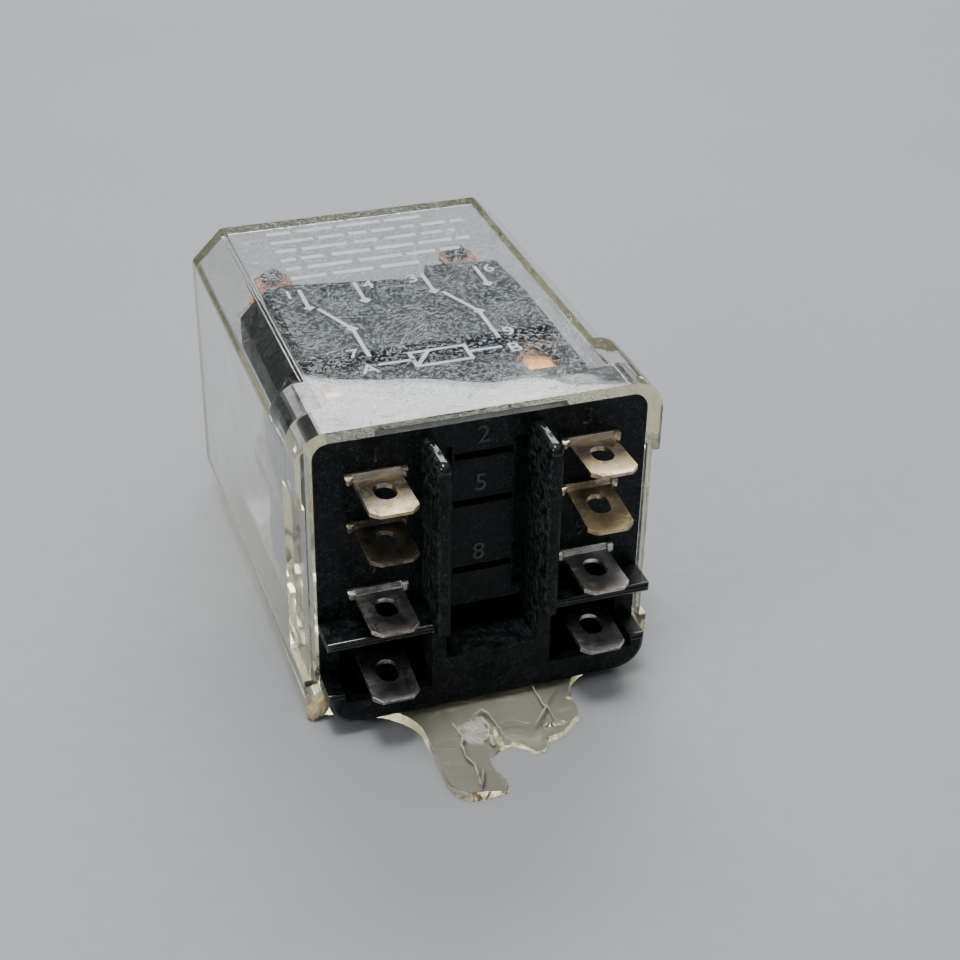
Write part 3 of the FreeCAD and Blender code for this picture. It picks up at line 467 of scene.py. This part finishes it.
def ear_drop(x, y):
    """How far the broken ear's top face lies below its whole thickness, in millimetres."""
    drop = 0.0
    for (ax, ay), (bx, by), slope, most, xs, ys in EAR_FACETS:
        length = math.hypot(bx - ax, by - ay)
        beside = ((bx - ax) * (y - ay) - (by - ay) * (x - ax)) / length
        if beside > 0 and xs[0] < x < xs[1] and ys[0] < y < ys[1]:
            drop = max(drop, min(beside * slope, most))
    bruise = crush(x, y)
    rough = noise.fractal(Vector((x * 1.6, y * 1.6, 0.0)), 1.0, 2.0, 4)
    return drop + bruise * (0.16 + 0.3 * abs(rough)) + (0.05 * abs(rough) if drop > 0 else 0.0)


def break_ear(bm):
    """Slices the ear into small faces, drops its facets and roughens the wall of the break."""
    def low(face):
        return all(v.co.z < (EAR_TOP + 0.1) * MM for v in face.verts)

    def on_ear(face):
        return face.calc_center_median().y < 0.02 * MM and low(face)

    columns = round((EAR_RIGHT - EAR_LEFT) / EAR_CELL) + 1
    rows = round((-1.2 - EAR_TIP) / EAR_CELL) + 1
    slice_along(bm, 1, [0.0], low)
    slice_along(bm, 0, [EAR_LEFT + EAR_CELL * i for i in range(columns)], on_ear)
    slice_along(bm, 1, [EAR_TIP + EAR_CELL * i for i in range(rows)], on_ear)
    slice_along(bm, 2, [0.35, 0.7], on_ear)
    frost = bm.verts.layers.float.new("frost")
    for vert in bm.verts:
        x, y, z = vert.co / MM
        if y > -2.0 or z > EAR_TOP + 0.05:
            continue
        vert.co.z -= ear_drop(x, y) * z / EAR_TOP * MM
        near = distance_to_path(x, y, EAR_BREAK)
        vert[frost] = max(crush(x, y) * 0.8, 0.35 * (near < 0.25))
        if near < 0.3 and z > 0.02:
            vert.co += 0.16 * MM * noise.noise_vector(Vector((x * 1.3, y * 1.3, z * 1.7)))


def ear_surface(x, y):
    """The height of the broken ear's top face."""
    return EAR_TOP - ear_drop(x, y)


def ridge(bm, path, width, height, seed, step=0.22):
    """A thin jagged ridge of crazed plastic along a path on the ear."""
    rows = []
    for (ax, ay), (bx, by) in zip(path, path[1:]):
        length = math.hypot(bx - ax, by - ay)
        count = max(1, int(length / step))
        for i in range(count):
            t = i / count
            rows.append((ax + (bx - ax) * t, ay + (by - ay) * t, -(by - ay) / length, (bx - ax) / length))
    rows.append((*path[-1], rows[-1][2], rows[-1][3]))
    rings = []
    for index, (x, y, nx, ny) in enumerate(rows):
        jitter = noise.noise(Vector((x * 2, y * 2, seed)))
        taper = 0.25 if index in (0, len(rows) - 1) else 1.0 + 0.7 * noise.noise(Vector((x, y, seed + 5)))
        x, y = x + nx * jitter * 0.12, y + ny * jitter * 0.12
        half, z = width / 2 * taper, ear_surface(x, y)
        rings.append([bm.verts.new(Vector((x + nx * side, y + ny * side, z + up)) * MM)
                      for side, up in ((-half, -0.05), (0, height * taper), (half, -0.05))])
    for a, b in zip(rings, rings[1:]):
        for i in range(3):
            j = (i + 1) % 3
            bm.faces.new((a[i], a[j], b[j], b[i]))
    bm.faces.new(rings[0])
    bm.faces.new(rings[-1])


def ear_cracks():
    """Pale stress lines in the ear: the long cracks, and short ridges all over the bruise."""
    bm = bmesh.new()
    for seed, (path, width) in enumerate(CRACKS):
        ridge(bm, path, width, 0.07, seed)
    rng = random.Random(7)
    for seed in range(BRUISE_RIDGES):
        turn, reach = rng.uniform(0, 2 * math.pi), rng.uniform(0.1, 1.35)
        x, y = CRUSH_X + reach * math.cos(turn), CRUSH_Y + reach * math.sin(turn)
        lean, length = turn + rng.uniform(0.9, 2.2), rng.uniform(0.5, 1.3)
        bend = rng.uniform(-0.3, 0.3)
        middle = (x + length / 2 * math.cos(lean) + bend, y + length / 2 * math.sin(lean))
        end = (x + length * math.cos(lean), y + length * math.sin(lean))
        ridge(bm, [(x, y), middle, end], rng.uniform(0.08, 0.22), 0.14, BRUISE_RIDGES + seed, 0.15)
    new_piece("ear_cracks", bm, [finish["crazed"]], body_of("dust_cover"))


def sealant_lump():
    """Yellowed sealant squeezed out at the rim's lower left corner."""
    middle = Vector((-16.95, 0.1, 1.75))
    bm = bmesh.new()
    bmesh.ops.create_icosphere(bm, subdivisions=5, radius=1.0)
    for vert in bm.verts:
        p = vert.co.copy()
        rough = noise.fractal(p * 2.2 + Vector((3, 1, 0)), 1.0, 2.0, 5) * 0.16 + 0.07 * noise.noise(p * 7)
        vert.co = p * (1 + rough)
        vert.co = Vector((vert.co.x * 1.25 + 0.5 * p.z, vert.co.y * 0.75, vert.co.z * 1.75 + 0.35 * p.x))
        vert.co = (vert.co + middle) * MM
        vert.co.z = max(vert.co.z, 0.02 * MM)
    new_piece("sealant_lump", bm, [finish["sealant"]], body_of("dust_cover"), 60)


# ---- blades and base ----------------------------------------------------------------------
COLUMN_X, BLADE_HALF_W = 10.8, 2.42
COIN_LENGTH, COIN_THIN = 0.5, 0.62
SHOULDER_START, SHOULDER_REACH, SHOULDER_CURL = -0.25, 0.6, 0.34
SHOULDER_SLICES = [-0.72, -0.58, -0.44, -0.3]
NUMBER_SIZE, NUMBER_DEPTH = 2.7, 0.12
NUMBERS = {"1": (-10.75, 30.0), "2": (-0.1, 30.2), "3": (10.5, 30.4),
           "4": (-10.9, 25.4), "5": (-0.3, 24.9), "6": (10.6, 25.6),
           "7": (-10.9, 17.5), "8": (-0.4, 16.9), "9": (10.35, 17.6)}


def coin_blade(bm):
    """Thins the blade's tip to a lead-in and curls its shoulders down a little."""
    tip = min(v.co.y for v in bm.verts) / MM
    slice_along(bm, 1, [tip + COIN_LENGTH] + SHOULDER_SLICES)
    column = COLUMN_X * (1 if sum(v.co.x for v in bm.verts) > 0 else -1)
    at_tip = [v for v in bm.verts if v.co.y < (tip + 0.2) * MM]
    heights = [v.co.z for v in at_tip]
    middle = (min(heights) + max(heights)) / 2
    for vert in at_tip:
        vert.co.z = middle + (vert.co.z - middle) * COIN_THIN
    for vert in bm.verts:
        x, y = vert.co.x / MM, vert.co.y / MM
        beyond = min(max((SHOULDER_START - y) / SHOULDER_REACH, 0.0), 1.0)
        if abs(x - column) > BLADE_HALF_W and y > -1.0:
            vert.co.z -= SHOULDER_CURL * beyond ** 1.6 * MM


def polish_rounds(bm):
    """Gives the narrow faces of the base's rounded front edges the polished finish."""
    for face in bm.faces:
        if face.calc_center_median().y < -MM and face.calc_area() < 1.2 * MM ** 2:
            face.material_index = 1


def flat_text(text, size, thick):
    """The mesh of one moulded or printed character, flat in XY round its middle."""
    curve = bpy.data.curves.new("number", "FONT")
    curve.body, curve.size, curve.extrude = text, size * MM, thick / 2 * MM
    curve.align_x = curve.align_y = "CENTER"
    curve.offset = 0.02 * MM
    glyph = bpy.data.objects.new("number", curve)
    bpy.context.scene.collection.objects.link(glyph)
    bpy.context.view_layer.update()
    mesh = bpy.data.meshes.new_from_object(glyph)
    bpy.data.objects.remove(glyph)
    return mesh


def terminal_numbers():
    """Moulded numbers beside the blades and on the blanked middle column."""
    upright = Matrix.Rotation(math.pi / 2, 4, "X")
    bm = bmesh.new()
    for text, (x, z) in NUMBERS.items():
        mesh = flat_text(text, NUMBER_SIZE, NUMBER_DEPTH)
        mesh.transform(Matrix.Translation(Vector((x, -0.04, z)) * MM) @ upright)
        bm.from_mesh(mesh)
    new_piece("terminal_numbers", bm, [finish["black_edge"]], body_of("base"))


# ---- print on the cover -------------------------------------------------------------------
INK, LINE_WIDTH, DOT, LETTER = 0.008, 0.42, 0.9, 2.5
POLES = (-7.5, 6.0)
POLE_END, PIVOT_Y, ARM_END, FIXED_Y, FIXED_END = 13.0, 19.0, 24.2, 24.8, 29.0
ARM_LEAN, FIXED_SIDE = 2.1, 3.0
COIL_LEFT, COIL_RIGHT, COIL_LOW, COIL_HIGH, COIL_MIDDLE = -3.6, 2.1, 9.6, 12.4, 11.0
COIL_LEAD, COIL_SLASH = 3.4, 2.0
LABELS = {"1": (-11.8, 28.2), "4": (-3.2, 28.2), "7": (-8.9, 13.8), "3": (1.7, 28.2), "6": (10.3, 28.2),
          "9": (7.4, 13.8), "A": (-8.2, 10.4), "B": (6.8, 10.4)}
RULED_LEFT, RULED_WIDTH = -10.6, 0.75
RULED_LINES = [(32.0, 4.0), (34.3, 8.5), (36.6, 10.6), (38.9, 9.4), (41.2, 11.2), (43.5, 7.8)]


def diagram_lines():
    """The lines of the diagram: both changeover contacts, then the coil and its leads."""
    lines = []
    for x in POLES:
        lines += [(x, POLE_END, x, PIVOT_Y), (x, PIVOT_Y, x - ARM_LEAN, ARM_END)]
        lines += [(x + side, FIXED_Y, x + side, FIXED_END) for side in (-FIXED_SIDE, FIXED_SIDE)]
    lines += [(COIL_LEFT, COIL_LOW, COIL_LEFT, COIL_HIGH), (COIL_LEFT, COIL_HIGH, COIL_RIGHT, COIL_HIGH),
              (COIL_RIGHT, COIL_HIGH, COIL_RIGHT, COIL_LOW), (COIL_RIGHT, COIL_LOW, COIL_LEFT, COIL_LOW),
              (COIL_LEFT - COIL_LEAD, COIL_MIDDLE, COIL_LEFT, COIL_MIDDLE),
              (COIL_RIGHT, COIL_MIDDLE, COIL_RIGHT + COIL_LEAD, COIL_MIDDLE),
              (COIL_LEFT, COIL_LOW, COIL_LEFT + COIL_SLASH, COIL_HIGH)]
    return lines


def slab(bm, x, y, length, width, turn, thick=INK):
    """A thin printed bar on the top face."""
    u, v = length / 2, width / 2
    corners = [(-u, -v), (u, -v), (u, v), (-u, v)]
    spot = Matrix.Translation(Vector((x, y, CASE_TOP)) * MM) @ Matrix.Rotation(turn, 4, "Z")
    low = [bm.verts.new(spot @ (Vector((u, v, 0)) * MM)) for u, v in corners]
    high = [bm.verts.new(spot @ (Vector((u * 0.98, v * 0.94, thick)) * MM)) for u, v in corners]
    bm.faces.new(high)
    bm.faces.new(low[::-1])
    for i in range(4):
        j = (i + 1) % 4
        bm.faces.new((low[i], low[j], high[j], high[i]))


def printed_diagram():
    """White print on top: a plain contact diagram with blade numbers, and blank ruled lines."""
    bm = bmesh.new()
    # Bars that cross differ a little in thickness, so that no two top faces coincide.
    for index, (x0, y0, x1, y1) in enumerate(diagram_lines()):
        slab(bm, (x0 + x1) / 2, (y0 + y1) / 2, math.hypot(x1 - x0, y1 - y0) + 0.3, LINE_WIDTH,
             math.atan2(y1 - y0, x1 - x0), INK + 0.0015 * (index % 4))
    dots = [(x, PIVOT_Y) for x in POLES]
    dots += [(x + side, FIXED_Y) for x in POLES for side in (-FIXED_SIDE, FIXED_SIDE)]
    for x, y in dots:
        slab(bm, x, y, DOT, DOT, math.pi / 4, INK + 0.007)
    rng = random.Random(5)
    for y, right in RULED_LINES:
        x = RULED_LEFT
        while x < right:
            dash = min(rng.uniform(1.6, 5.2), right - x + 0.6)
            slab(bm, x + dash / 2, y, dash, RULED_WIDTH, 0)
            x += dash + rng.uniform(0.5, 0.9)
    for text, (x, y) in LABELS.items():
        mesh = flat_text(text, LETTER, INK)
        mesh.transform(Matrix.Translation(Vector((x, y, CASE_TOP + INK / 2)) * MM))
        bm.from_mesh(mesh)
    new_piece("printed_diagram", bm, [finish["ink"]], body_of("dust_cover"))


# ---- pieces -------------------------------------------------------------------------------
PLAIN_PIECES = {
    "contact": ["nc_contact_left", "nc_contact_right", "no_contact_left", "no_contact_right",
                "moving_contact_left", "moving_contact_right"],
    "copper": ["moving_blade_left", "moving_blade_right", "shading_ring"],
    "braid": ["pigtail_left", "pigtail_right"],
    "wire": ["coil_lead_a", "coil_lead_b", "winding"],
    "steel": ["armature", "yoke", "core"],
    "black_phenolic": ["contact_carrier"],
    "nylon": ["bobbin"],
    "tape": ["coil_tape"],
    "spring": ["return_spring"],
    "brass": ["blade_rivets", "carrier_rivets", "frame_rivets"],
}


def make_pieces():
    """The cover and what is on it, the base, the blades, and then the plain pieces inside."""
    refined("dust_cover", [finish["clear_cover"]], 0.14, 3, reshape=break_ear)
    ear_cracks()
    sealant_lump()
    terminal_numbers()
    printed_diagram()
    refined("base", [finish["black_phenolic"], finish["black_edge"]], 0.1, 2, edge_material=1,
            reshape=polish_rounds)
    for name in "134679ab":
        refined("terminal_" + name, [finish["blade_" + name], finish["blade_edge"]], 0.05, 2, edge_material=1,
                reshape=coin_blade)
    for key, nodes in PLAIN_PIECES.items():
        for node in nodes:
            refined(node, [finish[key]], 0.04)


def make_floor():
    """A plain pale floor, just under the relay."""
    f = Finish("floor", {"IOR": 1.45})
    f.set("Base Color", f.mix(f.noise(0.02, 3), (0.42, 0.43, 0.445, 1), (0.46, 0.47, 0.485, 1)))
    f.set("Roughness", f.ramp(f.noise(0.5, 3), 0.3, 0.7, 0.55, 0.7))
    bm = bmesh.new()
    bmesh.ops.create_grid(bm, x_segments=2, y_segments=2, size=1.5)
    bmesh.ops.translate(bm, verts=bm.verts[:], vec=(0, 0, -FLOOR_GAP * MM))
    floor = link_mesh("floor", bm)
    floor.data.materials.append(f.material)


# ---- the scene ----------------------------------------------------------------------------
# Light passes many glass faces here, and each one counts as a bounce.
cycles = bpy.context.scene.cycles
cycles.max_bounces = cycles.transmission_bounces = cycles.glossy_bounces = 40
cycles.caustics_reflective = cycles.caustics_refractive = False
place_camera()
light_scene()
make_floor()
finish = make_finishes()
make_pieces()
